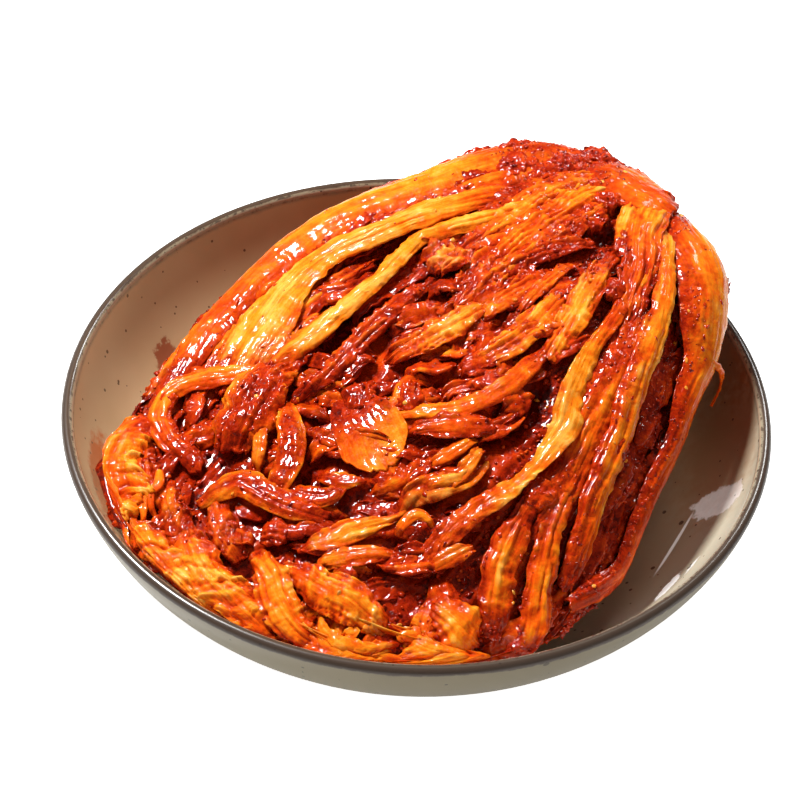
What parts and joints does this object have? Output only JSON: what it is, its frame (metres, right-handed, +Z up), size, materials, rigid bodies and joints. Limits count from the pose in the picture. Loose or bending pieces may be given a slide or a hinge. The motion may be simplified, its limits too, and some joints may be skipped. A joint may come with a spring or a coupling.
{
  "type": "kimchi in a bowl",
  "caption": "Half a head of cabbage kimchi with fanned leaves and chili paste, lying cut side up in a shallow glazed stoneware bowl with a speckled, iron-edged rim.",
  "frame": {"origin": "middle of the bowl's foot ring, on the surface that the bowl stands on", "axes": "+Z up; the cabbage's root lies over the rim at +X +Y and its leaf tips fan towards -X -Y"},
  "size_m": [0.2496, 0.2496, 0.1004],
  "materials": {
    "bowl": "glazed stoneware: glossy warm tan inside with sparse iron specks, satin grey-beige outside, dark iron-brown edge at the rim",
    "kimchi": "wet fermented cabbage: translucent yellow to orange leaves under a glossy dark red chili paste"
  },
  "bodies": {
    "root": {"bowl": "bowl", "kimchi": "kimchi"}
  },
  "joints": []
}
